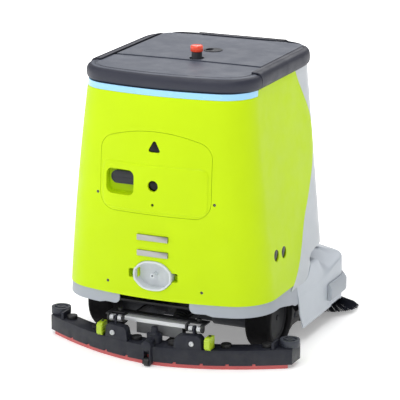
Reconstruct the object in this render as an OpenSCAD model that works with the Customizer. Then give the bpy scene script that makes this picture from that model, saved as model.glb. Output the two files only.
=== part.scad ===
/* [Upper body] */
// Width of the upper body where the top cover sits on it
body_top_w = 414; // [400:1:430]
// Height of the joint between the body shells and the top cover
body_top_z = 630; // [610:1:640]
// Outward flare of each side, in millimetres per millimetre of height lost
side_flare = 0.1; // [0.05:0.01:0.14]
// Distance from the origin back to the rear face near the floor
rear_reach = 293; // [285:1:300]
// Forward lean of the rear face over its upper 400 mm
rear_lean = 25; // [10:1:30]
// Distance from the origin forward to the front face
front_reach = 205; // [195:1:215]
// Wall thickness of the moulded shells
shell_wall = 3; // [2.5:0.5:4]

/* [Deck and bumper] */
// Width of the deck between the bumper strips
deck_w = 528; // [510:2:540]
// Distance from the origin forward to the front of the deck
deck_front = 324; // [310:1:335]
// Height of the deck's lower edge above the floor
deck_low_z = 40; // [30:1:50]
// Thickness of the bumper strip
bumper_t = 12; // [8:1:14]

/* [Top cover] */
// Height of the flat top surface
cover_top_z = 667; // [660:1:675]
// Half width of the lid opening
lid_half_w = 186; // [175:1:190]
// Where the lid meets the rear cover
lid_rear_y = -94; // [-110:1:-90]
// Where the lid meets the front of the rim
lid_front_y = 176; // [165:1:180]
// Diameter of the emergency stop head
stop_head_d = 29; // [25:1:32]
// Diameter of the flush lid latch
lid_latch_d = 43; // [35:1:50]

/* [Rear door] */
// Half width of the rear door
door_half_w = 136; // [120:1:140]
// Lower edge of the rear door
door_low_z = 348; // [340:1:360]
// Upper edge of the rear door at its sides
door_high_z = 520; // [500:1:530]
// Extra height of the arched upper edge at the centre
door_arch = 16; // [8:1:20]

/* [Running gear] */
// Diameter of the drive wheels
drive_wheel_d = 150; // [140:1:160]
// Tread width of the drive wheels
drive_wheel_w = 62; // [50:1:64]
// Distance from the centre plane to the middle of a drive wheel
drive_wheel_x = 201; // [198:1:204]
// Drive axle position, positive forward
drive_wheel_y = -90; // [-94:1:-86]
// Diameter of the front caster wheels
caster_wheel_d = 60; // [50:1:64]
// Diameter of the two scrubbing brushes
scrub_brush_d = 84; // [80:1:86]
// Length of the scrubbing brushes
scrub_brush_l = 400; // [360:10:410]
// Diameter of the side brush at its bristle tips
side_brush_d = 152; // [130:1:152]
// Tilt of the side brush, so that its front bristles press on the floor
side_brush_tilt = 5; // [3:1:6]

/* [Squeegee] */
// Width of the squeegee frame without its end rollers
squeegee_w = 612; // [590:2:616]
// Rearward reach of the squeegee frame at its centre
squeegee_reach = 316; // [310:1:318]
// How far the squeegee's ends come forward of its centre
squeegee_sweep = 106; // [90:1:115]
// Depth of the squeegee frame from rear to front
squeegee_depth = 50; // [46:1:54]
// Height of the squeegee frame's lower edge above the floor
squeegee_low_z = 10; // [8:1:12]
// Height of the squeegee frame's upper face
squeegee_top_z = 46; // [42:1:48]
// Diameter of the end rollers
end_roller_d = 46; // [40:1:48]

/* [Hidden] */

$fn = 48;
eps = 0.01;
gap = 0.4;        // seam between two moulded panels
run_fit = 0.05;   // radial clearance of a turning fit

lime = [0.78, 0.91, 0.17];
pale_grey = [0.74, 0.77, 0.80];
dark_grey = [0.30, 0.31, 0.35];
cover_grey = [0.42, 0.44, 0.48];
navy = [0.20, 0.22, 0.26];
black = [0.10, 0.10, 0.11];
steel = [0.65, 0.66, 0.68];

// ---- plan outlines ----

// Points on an arc; angle 0 looks to the rear, 90 to the right and 180 to the front
function fan(centre, r, from, to, steps) =
    [for (i = [0:steps]) let (a = from + (to - from) * i / steps)
        [centre[0] + r * sin(a), centre[1] - r * cos(a)]];

function tail(points) = [for (i = [1:len(points) - 1]) points[i]];

// A right half outline from rear centre to front centre, completed on the left
function mirrored(half) =
    concat(half, [for (i = [len(half) - 2:-1:1]) [-half[i][0], half[i][1]]]);

rear_bow_r = 750;
front_bow_r = 700;
front_corner_r = 90;

// Closed outline with a bowed rear, a bowed front and tangent round corners
function bowed_outline(half, rear, front, rear_corner, front_corner) =
    let (
        rear_turn = asin((half - rear_corner) / (rear_bow_r - rear_corner)),
        front_turn = asin((half - front_corner) / (front_bow_r - front_corner))
    )
    mirrored(concat(
        fan([0, rear + rear_bow_r], rear_bow_r, 0, rear_turn, 3),
        tail(fan([half - rear_corner,
            rear + rear_bow_r - (rear_bow_r - rear_corner) * cos(rear_turn)],
            rear_corner, rear_turn, 90, 7)),
        fan([half - front_corner,
            front - front_bow_r + (front_bow_r - front_corner) * cos(front_turn)],
            front_corner, 90, 180 - front_turn, 6),
        tail(fan([0, front - front_bow_r], front_bow_r, 180 - front_turn, 180, 3))
    ));

function half_width(z) = body_top_w / 2 + side_flare * (616 - z);
function rear_face(z) = -rear_reach + rear_lean * pow(max(0, z - 220) / 400, 2);
function rear_corner(z) = 80 + (body_top_z - z) / 24;

// Body outline at one height, moved outward by grow
function body_outline(z, grow) =
    bowed_outline(half_width(z) + grow, rear_face(z) - grow, front_reach + grow,
        rear_corner(z) + grow, front_corner_r + grow);

deck_corner_r = 60;
deck_bow_r = 460;

// Deck outline in front of the wheel arches; its sides run out from the body's flare
function deck_outline(z, grow, rear = deck_rear_y) =
    let (
        half = deck_w / 2,
        turn = asin((half - deck_corner_r) / (deck_bow_r - deck_corner_r))
    )
    mirrored(concat(
        [[0, rear], [half_width(z) + grow, rear], [half + grow, 150]],
        fan([half - deck_corner_r,
            deck_front - deck_bow_r + (deck_bow_r - deck_corner_r) * cos(turn)],
            deck_corner_r + grow, 90, 180 - turn, 8),
        tail(fan([0, deck_front - deck_bow_r], deck_bow_r + grow, 180 - turn, 180, 6))
    ));

// ---- building blocks ----

skin = 0.2;   // thickness of a slice that a hull joins to the next one

module slice(z) translate([0, 0, z]) linear_extrude(skin) children();

// Space inside the body's outer surface between two heights, moved outward by grow
module body_form(low, high, grow) {
    hull() {
        for (t = [0, 0.3, 0.55, 0.78, 1]) {
            z = low + (high - skin - low) * t;
            slice(z) polygon(body_outline(z, grow));
        }
    }
}

// A side view outline, in Y and Z, extruded across the whole width
module side_prism(points, half) {
    rotate([90, 0, 90]) translate([0, 0, -half]) linear_extrude(2 * half) polygon(points);
}

// A rear view outline, in X and Z, extruded from one Y to another
module rear_prism(points, from_y, to_y) {
    translate([0, to_y, 0]) rotate([90, 0, 0]) linear_extrude(to_y - from_y) polygon(points);
}

module box(from, to) {
    translate(from) cube([to[0] - from[0], to[1] - from[1], to[2] - from[2]]);
}

module bar_x(r, from_x, to_x, y, z) {
    translate([from_x, y, z]) rotate([0, 90, 0]) cylinder(r = r, h = to_x - from_x);
}

module bar_y(r, from_y, to_y, x, z) {
    translate([x, to_y, z]) rotate([90, 0, 0]) cylinder(r = r, h = to_y - from_y);
}

module round_plate(half_x, from_y, to_y, corner, height) {
    linear_extrude(height) {
        polygon(concat(
            fan([half_x - corner, from_y + corner], corner, 0, 90, 8),
            fan([half_x - corner, to_y - corner], corner, 90, 180, 8),
            fan([-half_x + corner, to_y - corner], corner, 180, 270, 8),
            fan([-half_x + corner, from_y + corner], corner, 270, 360, 8)
        ));
    }
}

module both_sides() {
    children();
    mirror([1, 0, 0]) children();
}

// ---- places ----

chassis_z = 116;
chassis_t = 6;
deck_rear_y = -45;
strip_low_z = 616;
strip_end_y = -168;
neck_z = 172;
slot_z = 212;

axle_z = drive_wheel_d / 2;
caster_x = 86;
caster_y = 262;
caster_trail = 18;
brush_r = scrub_brush_d / 2;
brush_z = brush_r + 0.5;
front_brush_y = 122;
rear_brush_y = 36;
side_brush_at = [214, 238, side_brush_d / 2 * sin(side_brush_tilt) + 0.5];

stop_at = [10, -71];
latch_at = [10, 22];
lid_axis_y = lid_front_y + 0.5;
lid_axis_z = cover_top_z - 3;

door_lean = atan((rear_face(505) - rear_face(380)) / 125);
door_axis = [168, -246, 442];
door_arm_r = 45;
paddle_axis = [-53, -268];

lift_axis_y = -142;
lift_axis_z = 96;
pitch_axis_y = -278;
pitch_axis_z = 89;
nozzle_at = [34, -232];
pipe_at = [34, -172];

// Seam between the rear shell and the front shell, seen from the side
seam_line = [
    [-85, 140], [-78, 145], [-54, 160], [-26, 188], [-4, 223], [27, 284], [60, 328],
    [92, 378], [114, 420], [127, 445], [129, 470], [120, 502], [103, 535], [80, 570],
    [60, 602], [31, 640]
];
// Lower edge of the front shell, from its foot to the front face
foot_line = [[-44, 141], [-8, 139.5], [24, 152], [38, 170], [50, 205], [205, slot_z]];

// ---- static body ----

module chassis_plate() color(steel) {
    difference() {
        union() {
            translate([0, 0, chassis_z]) linear_extrude(chassis_t) difference() {
                union() {
                    polygon(deck_outline(chassis_z, -6));
                    translate([-158, -236]) square([316, 200]);
                }
                translate([-60, lift_axis_y - 26]) square([42, 40]);
                translate(pipe_at) circle(d = 48);
                both_sides() translate([164, drive_wheel_y - 82]) square([120, 164]);
            }
            both_sides() lift_lug();
            both_sides() caster_boss();
            both_sides() box([157, -230, chassis_z], [163, -160, 200]);
        }
        bar_x(6 + run_fit, -100, 100, lift_axis_y, lift_axis_z);
        both_sides() translate([caster_x, caster_y, 90]) cylinder(r = 6 + run_fit, h = 50);
    }
}

module lift_lug() {
    box([70, lift_axis_y - 14, 84], [76, lift_axis_y + 14, chassis_z + eps]);
}

module caster_boss() {
    translate([caster_x, caster_y, chassis_z - 10]) cylinder(d = 34, h = 10 + eps);
}

module rear_shell() color(lime) {
    difference() {
        union() {
            difference() {
                body_form(150, body_top_z - gap, 0);
                body_form(149, body_top_z + 1, -shell_wall);
            }
            finger_pockets(16);
            door_hinge_lugs();
        }
        side_prism(concat(seam_line, [[300, 640], [300, 140]]), 400);
        strip_space(gap);
        rear_prism(door_outline(1.2), -400, -230);
        rear_prism(port_outline(0.5), -400, -230);
        both_sides() box([42, -400, 196], [61, -277, 217]);
        for (z = [257.5, 294]) box([-38.4, -400, z - 6.9], [38.4, -230, z + 6.9]);
        for (at = side_sensor_at) sensor_bore(at, 13.9);
        for (at = shell_screw_at) bar_y(3.5, -400, -200, at[0], at[1]);
        both_sides() bar_y(3.5, -280, -270, 52, 212);
        door_axis_frame() cylinder(r = 3, h = 170, center = true);
    }
}

// Pockets that give fingers a hold beside the water port
module finger_pockets(depth) {
    both_sides() box([39, -289, 193], [64, -289 + depth, 220]);
}

module door_hinge_lugs() {
    for (z = [-70, 37]) {
        door_axis_frame() translate([0, 0, z]) linear_extrude(8) {
            polygon([[-8, -20], [9, -13.5], [9, 5], [-5, 5]]);
        }
    }
}

module door_axis_frame() {
    translate(door_axis) rotate([-door_lean, 0, 0]) children();
}

function strip_cut_line(grow) = [
    [-400, strip_low_z - grow], [strip_end_y - 10 + grow, strip_low_z - grow],
    [strip_end_y + grow, 642], [-400, 642]
];

module strip_space(grow) side_prism(strip_cut_line(grow), 400);

module light_strip() color([0.62, 0.81, 0.94]) {
    intersection() {
        difference() {
            body_form(600, body_top_z - gap, -0.6);
            body_form(599, body_top_z + 1, -4);
        }
        strip_space(0);
    }
}

shell_screw_at = [[-144, 383], [144, 383], [-117, 178], [117, 178]];
side_sensor_at = [[-152, 244.5], [-108, 240.7]];

module sensor_bore(at, r) bar_x(r, -400, 400, at[0], at[1]);

module front_shell() color(pale_grey) {
    difference() {
        intersection() {
            body_form(139, body_top_z - gap, 0);
            side_prism(front_side(gap), 400);
        }
        difference() {
            body_form(120, body_top_z + 9, -shell_wall);
            side_prism([[40, 168], [53, 202.5], [300, 213], [300, slot_z + 5.5], [50, 209], [36, 175]], 400);
        }
        rear_prism(window_outline(0, 505, 46, 13.4), 150, 300);
        rear_prism(window_outline(0, 330, 46, 13.4), 150, 300);
        both_sides() corner_sensors(13.9);
        box([-96.5, 201, 556], [96.5, 240, 626]);
    }
}

function front_side(seam) = concat(
    [for (i = [len(seam_line) - 1:-1:1]) seam_line[i] + [seam, 0]],
    foot_line, [[300, slot_z + 4], [300, 640]]
);

// Obround opening in the front face
function window_outline(x, z, half, r) = concat(
    fan([x + half - r, z], r, 0, 180, 10), fan([x - half + r, z], r, 180, 360, 10)
);

module corner_sensors(r) {
    for (turn = [0, 22]) {
        translate([150, 120, 240]) rotate([0, 90, 28 + turn]) cylinder(r = r, h = 110);
    }
}

module deck() color(pale_grey) {
    difference() {
        union() {
            deck_tub();
            deck_shoulder(deck_rear_y, 0);
        }
        deck_hollow();
        deck_shoulder(-60, shell_wall);
        translate([0, 0, 120]) linear_extrude(100) polygon(neck_outline(-3 * shell_wall));
        box([-215, -60, 120], [215, 0, 230]);
        side_prism(deck_top_space, 400);
        wheel_arch();
    }
    neck();
    difference() {
        rear_band();
        box([-300, -79, 140.6], [300, 0, 200]);
    }
    box([-60, 96, neck_z - shell_wall], [60, 176, neck_z]);
}

// Deck form: upright sides, a rounded shoulder and a top that rises to the neck
module deck_tub() {
    hull() {
        slice(deck_low_z) polygon(deck_outline(deck_low_z, 0));
        slice(132) polygon(deck_outline(132, 0));
        slice(139) polygon(deck_outline(139, -5));
        slice(neck_z - skin) intersection() {
            polygon(deck_outline(150, -26));
            translate([-260, -200]) square([520, 385]);
        }
    }
}

module deck_hollow() {
    hull() {
        slice(deck_low_z - 1) polygon(deck_outline(132, -shell_wall, -60));
        slice(130) polygon(deck_outline(132, -shell_wall, -60));
        slice(137) polygon(deck_outline(139, -shell_wall - 5, -60));
        slice(neck_z - shell_wall - skin) intersection() {
            polygon(deck_outline(150, -30, -60));
            translate([-260, -200]) square([520, 381]);
        }
    }
}

// Higher part of each side behind the deck's top, sloping down to the front
module deck_shoulder(rear, wall) {
    hull() {
        slice(110 - wall) intersection() {
            polygon(deck_outline(132, -wall - 0.2, rear));
            translate([-300, -100]) square([600, 270 - wall]);
        }
        slice(shoulder_z - wall) intersection() {
            polygon(deck_outline(170, -wall - 1, rear));
            translate([-300, -100]) square([600, 196 - wall]);
        }
    }
}

shoulder_z = 174.6;

// Space above the deck behind its top, where the front shell comes down
deck_top_space = [
    [-78.6, 140.7], [-44, 140.6], [-8, 139.1], [24.4, 151.6], [38.4, 168], [41.2, 168],
    [54.2, 203], [54.2, 400], [-78.6, 400]
];

function neck_outline(grow) = bowed_outline(236 + grow, -44 - grow, 180 + grow, 20, 70);

// Wall between the deck's top and the front shell, open at the front for the scanner
module neck() {
    difference() {
        translate([0, 0, neck_z - 4]) linear_extrude(206 - neck_z) difference() {
            polygon(neck_outline(-7));
            polygon(neck_outline(-7 - shell_wall));
        }
        box([-150, 96, neck_z - 5], [150, 300, 230]);
        box([-300, -60, neck_z - 5], [300, 57, 230]);
    }
}

// Band below the rear shell, broken at the centre for the squeegee lift
module rear_band() {
    difference() {
        translate([0, 0, 100]) linear_extrude(49.6) difference() {
            polygon(body_outline(130, -2.5));
            polygon(body_outline(130, -2.5 - shell_wall));
        }
        side_prism([[-400, 99], [-400, 126], [-143, 124], [-98, 108], [-45, 108], [-45, 99]], 400);
        box([-87, -400, 90], [87, -200, 160]);
        box([-400, -43, 90], [400, 400, 200]);
    }
}

module wheel_arch() {
    side_prism([[-140, 30], [-28, 30], [-35, 50], [-50, 93], [-71, 104], [-98, 109], [-140, 109]], 400);
}

module bumper() color([0.66, 0.69, 0.73]) {
    difference() {
        hull() {
            slice(57) polygon(deck_outline(57, bumper_t - 5));
            slice(62) polygon(deck_outline(57, bumper_t));
            slice(86) polygon(deck_outline(57, bumper_t));
            slice(98) polygon(deck_outline(57, bumper_t - 8));
        }
        translate([0, 0, 50]) linear_extrude(60) polygon(deck_outline(deck_low_z, gap));
        box([-400, -100, 40], [400, 125, 110]);
    }
}

// ---- top cover ----

module cover_form(grow = 0) {
    hull() {
        slice(body_top_z) polygon(cover_outline(grow));
        slice(640) polygon(cover_outline(6 + grow));
        slice(654) polygon(cover_outline(6 + grow));
        slice(cover_top_z - 4) polygon(cover_outline(1 + grow));
        slice(cover_top_z - skin) polygon(cover_outline(-9 + grow));
    }
}

module cover_hollow() {
    translate([0, 0, body_top_z - 1]) {
        linear_extrude(cover_top_z - body_top_z - shell_wall + 1) polygon(cover_outline(-shell_wall - 1));
    }
}

function cover_outline(grow) =
    bowed_outline(body_top_w / 2 + grow, -261 - grow, front_reach + grow, 82 + grow, 92 + grow);

// Plan of the rear cover: all of the rear, and the middle as far as the lid
module rear_cover_plan() {
    half = lid_half_w - gap;
    polygon([
        [-300, -400], [300, -400], [300, strip_end_y - gap], [half, strip_end_y - gap],
        [half, lid_rear_y - gap], [-half, lid_rear_y - gap], [-half, strip_end_y - gap],
        [-300, strip_end_y - gap]
    ]);
}

module rear_top_cover() color(cover_grey) {
    intersection() {
        difference() {
            cover_form();
            cover_hollow();
        }
        translate([0, 0, 600]) linear_extrude(100) rear_cover_plan();
    }
}

module top_rim() color(cover_grey) {
    intersection() {
        difference() {
            cover_form();
            cover_hollow();
        }
        translate([0, 0, 600]) linear_extrude(100) difference() {
            translate([-300, strip_end_y]) square([600, 500]);
            lid_plan(0, -300);
        }
    }
    difference() {
        translate([0, 0, body_top_z + 1]) linear_extrude(35) lid_plan(3, lid_rear_y + 3);
        translate([0, 0, body_top_z]) linear_extrude(40) lid_plan(0, -300);
    }
    difference() {
        box([-lid_half_w - 2, lid_rear_y + 3, body_top_z + 1], [lid_half_w + 2, -48, 645]);
        translate([stop_at[0], stop_at[1], 600]) cylinder(r = 9, h = 60);
    }
    for (side = [-1, 1]) for (x = [88, 121]) hinge_knuckle(side, x, 1);
}

// Plan of the lid opening, with round corners at the front only
module lid_plan(grow, rear) {
    half = lid_half_w + grow;
    front = lid_front_y + 3 + grow;
    r = 26 + grow;
    polygon(concat(
        [[half, rear]],
        fan([half - r, front - r], r, 90, 180, 8),
        fan([-half + r, front - r], r, 180, 270, 8),
        [[-half, rear]]
    ));
}

// One barrel of the lid hinge with its web to the rim (ahead = 1) or to the lid (ahead = -1)
module hinge_knuckle(side, x, ahead) {
    from = side > 0 ? x : -x - 11;
    difference() {
        union() {
            bar_x(2.4, from, from + 11, lid_axis_y, lid_axis_z);
            box([from, lid_axis_y + (ahead > 0 ? 0 : -6), lid_axis_z - 2.4],
                [from + 11, lid_axis_y + (ahead > 0 ? 6 : 0), lid_axis_z]);
        }
        bar_x(1.2 + run_fit, from - 1, from + 12, lid_axis_y, lid_axis_z);
    }
}

module lid() color([0.50, 0.53, 0.57]) {
    difference() {
        union() {
            translate([0, 0, cover_top_z - 5]) round_plate(lid_half_w - 1.2, lid_rear_y + 1.2, lid_front_y - 3, 25, 5);
            translate([0, 0, cover_top_z - 13]) difference() {
                round_plate(lid_half_w - 14, -40, lid_front_y - 16, 16, 8 + eps);
                translate([0, 0, -1]) round_plate(lid_half_w - 17, -37, lid_front_y - 19, 14, 10);
            }
            translate([latch_at[0], latch_at[1], cover_top_z - 16]) cylinder(r = 25, h = 12);
        }
        translate([stop_at[0], stop_at[1], cover_top_z - 20]) cylinder(r = 17.5, h = 30);
        translate([latch_at[0], latch_at[1], cover_top_z - 13]) cylinder(r = lid_latch_d / 2 + 0.6, h = 30);
        translate([latch_at[0], latch_at[1], cover_top_z - 20]) cylinder(r = 5 + run_fit, h = 30);
    }
    for (side = [-1, 1]) hinge_knuckle(side, 104.5, -1);
}

module lid_latch() color(cover_grey) {
    translate([latch_at[0], latch_at[1], cover_top_z - 12.5]) difference() {
        union() {
            cylinder(d = lid_latch_d, h = 12.2);
            translate([0, 0, -9]) cylinder(r = 5, h = 10);
            translate([-4, -4, -9]) cube([8, 26, 4]);
        }
        translate([-9, 0, 4]) linear_extrude(10) {
            translate([0, 5]) circle(r = 8);
            translate([0, -5]) circle(r = 8);
            translate([-8, -5]) square([16, 10]);
        }
    }
}

module stop_base() color(dark_grey) {
    translate([stop_at[0], stop_at[1], 0]) difference() {
        union() {
            translate([0, 0, 645]) cylinder(d = 40, h = 8);
            translate([0, 0, 628]) cylinder(d = 17, h = 18);
            translate([0, 0, 650]) cylinder(d = 24, h = 31);
        }
        translate([0, 0, 640]) cylinder(r = 6 + run_fit, h = 60);
    }
}

module stop_button() color([0.90, 0.30, 0.20]) {
    translate([stop_at[0], stop_at[1], 0]) difference() {
        union() {
            translate([0, 0, 650]) cylinder(r = 6, h = 38);
            translate([0, 0, 681.4]) cylinder(d = stop_head_d, h = 11);
            translate([0, 0, 692.4 - eps]) cylinder(d1 = stop_head_d, d2 = stop_head_d - 4, h = 2.6);
        }
        translate([0, 0, 681]) difference() {
            cylinder(r = 12.5, h = 5.4);
            translate([0, 0, -1]) cylinder(r = 6, h = 8);
        }
    }
}

module visor() color(dark_grey) {
    difference() {
        hull() {
            box([-112, 205, 636], [112, 213, 640]);
            box([-116, 206, 644], [116, 226, 658]);
            box([-112, 207, 660], [112, 222, 662]);
        }
        cover_form(gap);
        box([-108, 180, 600], [108, 220, 652]);
    }
}

module display() color(black) {
    box([-96, 202, 557], [96, 207.5, 625]);
}

// ---- fittings on the shells ----

module charge_bars() color(steel) {
    for (z = [257.5, 294]) box([-38, -295.5, z - 6.5], [38, -284, z + 6.5]);
}

// Rounded oval of the water port with an ear on each side
function port_outline(grow) = [
    for (a = [0:10:350]) let (ear = abs(cos(a)) > 0.9 ? 3 : 0)
        [(44 + ear + grow) * sign(cos(a)) * pow(abs(cos(a)), 0.85),
            206 + (34.5 + grow) * sign(sin(a)) * pow(abs(sin(a)), 0.85)]
];

module water_port() color([0.71, 0.73, 0.75]) {
    difference() {
        rear_prism(port_outline(0), -297, -270);
        rear_prism(port_outline(-4), -298, -274);
    }
    difference() {
        bar_y(5, -295, -273, 0, 206);
        bar_y(3, -296, -284, 0, 206);
    }
}

module shell_screws() color(navy) {
    for (at = shell_screw_at) {
        y = rear_face(at[1]) + rear_bow_r - sqrt(pow(rear_bow_r, 2) - pow(at[0], 2));
        bar_y(3.5, y + 0.6, y + 10, at[0], at[1]);
    }
    both_sides() bar_y(3.5, -276.6, -270, 52, 212);
}

module sensor_windows() color(black) {
    both_sides() {
        for (at = side_sensor_at) {
            x = half_width(at[1]);
            bar_x(13.5, x - 22, x - 1.6, at[0], at[1]);
        }
        intersection() {
            corner_sensors(13.5);
            body_form(200, 280, -1.2);
            difference() {
                box([140, 100, 200], [300, 300, 280]);
                body_form(190, 290, -10);
            }
        }
    }
    for (z = [330, 505]) rear_prism(window_outline(0, z, 45.6, 13), 190, front_reach - 1);
}

module lidar() color(black) {
    translate([0, 138, neck_z + 0.2]) cylinder(d = 70, h = 30);
}

// ---- machinery ----

module wheel_motors() color(dark_grey) {
    both_sides() difference() {
        union() {
            bar_x(34, 70, 160, drive_wheel_y, axle_z);
            box([110, drive_wheel_y - 30, axle_z], [150, drive_wheel_y + 30, chassis_z]);
        }
        bar_x(8 + run_fit, 130, 170, drive_wheel_y, axle_z);
    }
}

module hub(side) color(steel) {
    mirror([side > 0 ? 0 : 1, 0, 0]) {
        difference() {
            bar_x(54, drive_wheel_x - 27, drive_wheel_x + 22, drive_wheel_y, axle_z);
            bar_x(44, drive_wheel_x + 12, drive_wheel_x + 23, drive_wheel_y, axle_z);
            for (turn = [0:72:288]) {
                translate([0, drive_wheel_y, axle_z]) rotate([turn, 0, 0]) {
                    bar_x(4.5, drive_wheel_x, drive_wheel_x + 23, 0, 24);
                }
            }
        }
        bar_x(8, 140, drive_wheel_x - 26, drive_wheel_y, axle_z);
        bar_x(14, drive_wheel_x + 11, drive_wheel_x + 20, drive_wheel_y, axle_z);
    }
}

module tyre(side) color(black) {
    half = drive_wheel_w / 2;
    r = drive_wheel_d / 2;
    translate([side * drive_wheel_x, drive_wheel_y, axle_z]) rotate([0, 90, 0]) rotate_extrude($fn = 96) {
        polygon([
            [54, -half + 4], [60, -half], [r - 6, -half], [r, -half + 7], [r, half - 7],
            [r - 6, half], [60, half], [54, half - 4]
        ]);
    }
}

module left_tyre() tyre(-1);
module right_tyre() tyre(1);
module left_hub() hub(-1);
module right_hub() hub(1);

module caster_fork(side) color(steel) {
    wheel_y = caster_y - caster_trail;
    r = caster_wheel_d / 2;
    difference() {
        union() {
            translate([side * caster_x, caster_y, 72]) cylinder(d = 30, h = 33.5);
            translate([side * caster_x, caster_y, 100]) cylinder(r = 6, h = 20);
            for (x = [-18, 14]) {
                box([side * caster_x + x, wheel_y - 11, r - 9], [side * caster_x + x + 4, wheel_y + 30, 74]);
            }
            box([side * caster_x - 18, wheel_y - 11, 70], [side * caster_x + 18, wheel_y + 32, 75]);
        }
        bar_x(4 + run_fit, side * caster_x - 30, side * caster_x + 30, wheel_y, r);
    }
}

module caster_wheel(side) color(black) {
    wheel_y = caster_y - caster_trail;
    r = caster_wheel_d / 2;
    bar_x(r, side * caster_x - 12, side * caster_x + 12, wheel_y, r);
    bar_x(4, side * caster_x - 18, side * caster_x + 18, wheel_y, r);
}

module left_caster_fork() caster_fork(-1);
module right_caster_fork() caster_fork(1);
module left_caster_wheel() caster_wheel(-1);
module right_caster_wheel() caster_wheel(1);

module brush_housing() color(dark_grey) {
    difference() {
        box([-216, rear_brush_y - 46, 22], [216, front_brush_y + 46, 94]);
        box([-208, rear_brush_y - 43, 21], [208, front_brush_y + 43, 90]);
        for (y = [front_brush_y, rear_brush_y]) bar_x(7 + run_fit, -220, 220, y, brush_z);
    }
    both_sides() box([150, 20, 93.9], [170, 150, chassis_z]);
}

module scrub_brush(y) color(navy) {
    bar_x(brush_r, -scrub_brush_l / 2, scrub_brush_l / 2, y, brush_z);
    bar_x(7, -216, 216, y, brush_z);
}

module front_brush() scrub_brush(front_brush_y);
module rear_brush() scrub_brush(rear_brush_y);

module brush_motor() color(dark_grey) {
    bar_x(28, -208, -126, 68, chassis_z + chassis_t + 28);
    box([-200, 45, chassis_z + chassis_t], [-150, 91, chassis_z + chassis_t + 12]);
}

module side_brush_frame() {
    translate(side_brush_at) rotate([-side_brush_tilt, 0, 0]) children();
}

module side_brush_motor() color(dark_grey) {
    difference() {
        side_brush_frame() difference() {
            translate([0, 0, 42]) cylinder(d = 24, h = 90);
            translate([0, 0, 30]) cylinder(r = 4 + run_fit, h = 40);
        }
        box([100, 150, chassis_z], [300, 350, 200]);
    }
}

module side_brush_hub() color(navy) {
    side_brush_frame() {
        translate([0, 0, 14]) cylinder(d1 = 36, d2 = 44, h = 10);
        translate([0, 0, 24 - eps]) cylinder(d1 = 44, d2 = 26, h = 6);
        translate([0, 0, 29]) cylinder(r = 4, h = 38);
    }
}

module side_brush_bristles() color(black) {
    r = side_brush_d / 2;
    side_brush_frame() rotate_extrude($fn = 72) {
        polygon([[18.6, 14], [22, 23.6], [44, 17], [r, 3], [r - 2, 0], [40, 8]]);
    }
}

module lift_motor() color(dark_grey) {
    difference() {
        union() {
            box([-58, lift_axis_y - 24, 80], [-20, lift_axis_y + 14, 114]);
            translate([-39, lift_axis_y - 6, 113]) cylinder(d = 34, h = 62);
            translate([-39, lift_axis_y - 6, 174]) cylinder(d = 30, h = 8);
        }
        bar_x(6 + run_fit, -70, 0, lift_axis_y, lift_axis_z);
    }
}

module battery_pack() color(black) {
    difference() {
        box([-150, -64, 122.3], [150, 30, 222]);
        for (x = [-60, 60]) box([x - 25, -65, 200], [x + 25, -54, 216]);
    }
}

module controller_box() color(steel) box([-100, -58, 226], [100, 30, 276]);

module vacuum_motor() color(dark_grey) {
    translate([80, 112, chassis_z + chassis_t]) {
        cylinder(d = 100, h = 24);
        translate([0, 0, 23]) cylinder(d = 76, h = 22);
        translate([0, 0, 44]) cylinder(d = 40, h = 14);
    }
}

module water_pump() color(navy) {
    box([-100, 84, chassis_z + chassis_t], [-36, 136, chassis_z + 48]);
    bar_y(18, 134, 160, -68, chassis_z + 27);
}

module clean_tank() color([0.80, 0.84, 0.88]) {
    difference() {
        translate([0, 0, 290]) round_plate(184, 46, 188, 56, 310);
        translate([0, 0, 293]) round_plate(181, 49, 185, 53, 304);
        translate([0, 116, 590]) cylinder(r = 36, h = 40);
    }
    translate([0, 116, 600 - eps]) difference() {
        cylinder(r = 39, h = 10);
        translate([0, 0, -1]) cylinder(r = 36, h = 20);
    }
}

module recovery_tank() color([0.72, 0.74, 0.76]) {
    difference() {
        union() {
            translate([0, 0, 290]) round_plate(160, -196, 40, 30, 310);
            translate([pipe_at[0], pipe_at[1], 120]) cylinder(d = 40, h = 172);
        }
        translate([0, 0, 293]) round_plate(157, -193, 37, 27, 304);
        translate([0, -4, 590]) cylinder(r = 36, h = 40);
        translate([pipe_at[0], pipe_at[1], 110]) cylinder(d = 35, h = 200);
    }
    translate([0, -4, 600 - eps]) difference() {
        cylinder(r = 39, h = 10);
        translate([0, 0, -1]) cylinder(r = 36, h = 20);
    }
}

module tank_caps() color(navy) {
    for (y = [-4, 116]) translate([0, y, 610.2]) {
        cylinder(d = 86, h = 12);
        translate([0, 0, -8]) cylinder(r = 35.6, h = 9);
        translate([-34, -5, 12 - eps]) cube([68, 10, 10]);
    }
}

module hinge_pins() color(steel) {
    door_axis_frame() cylinder(r = 3 - run_fit, h = 150, center = true);
    for (side = [-1, 1]) bar_x(1.2, side > 0 ? 87 : -133, side > 0 ? 133 : -87, lid_axis_y, lid_axis_z);
}

// ---- rear door ----

// Outline of the rear door with an arched top and round corners
function door_outline(grow) =
    let (r = 37 + grow, half = door_half_w + grow, low = door_low_z - grow, high = door_high_z + grow)
    mirrored(concat(
        [[0, low]],
        fan([half - r, low + r], r, 0, 90, 7),
        fan([half - r, high - r], r, 90, 168, 7),
        [[half * 0.35, high + door_arch * 0.85], [0, high + door_arch]]
    ));

pocket = [-120, 386, -48, 444];

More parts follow.
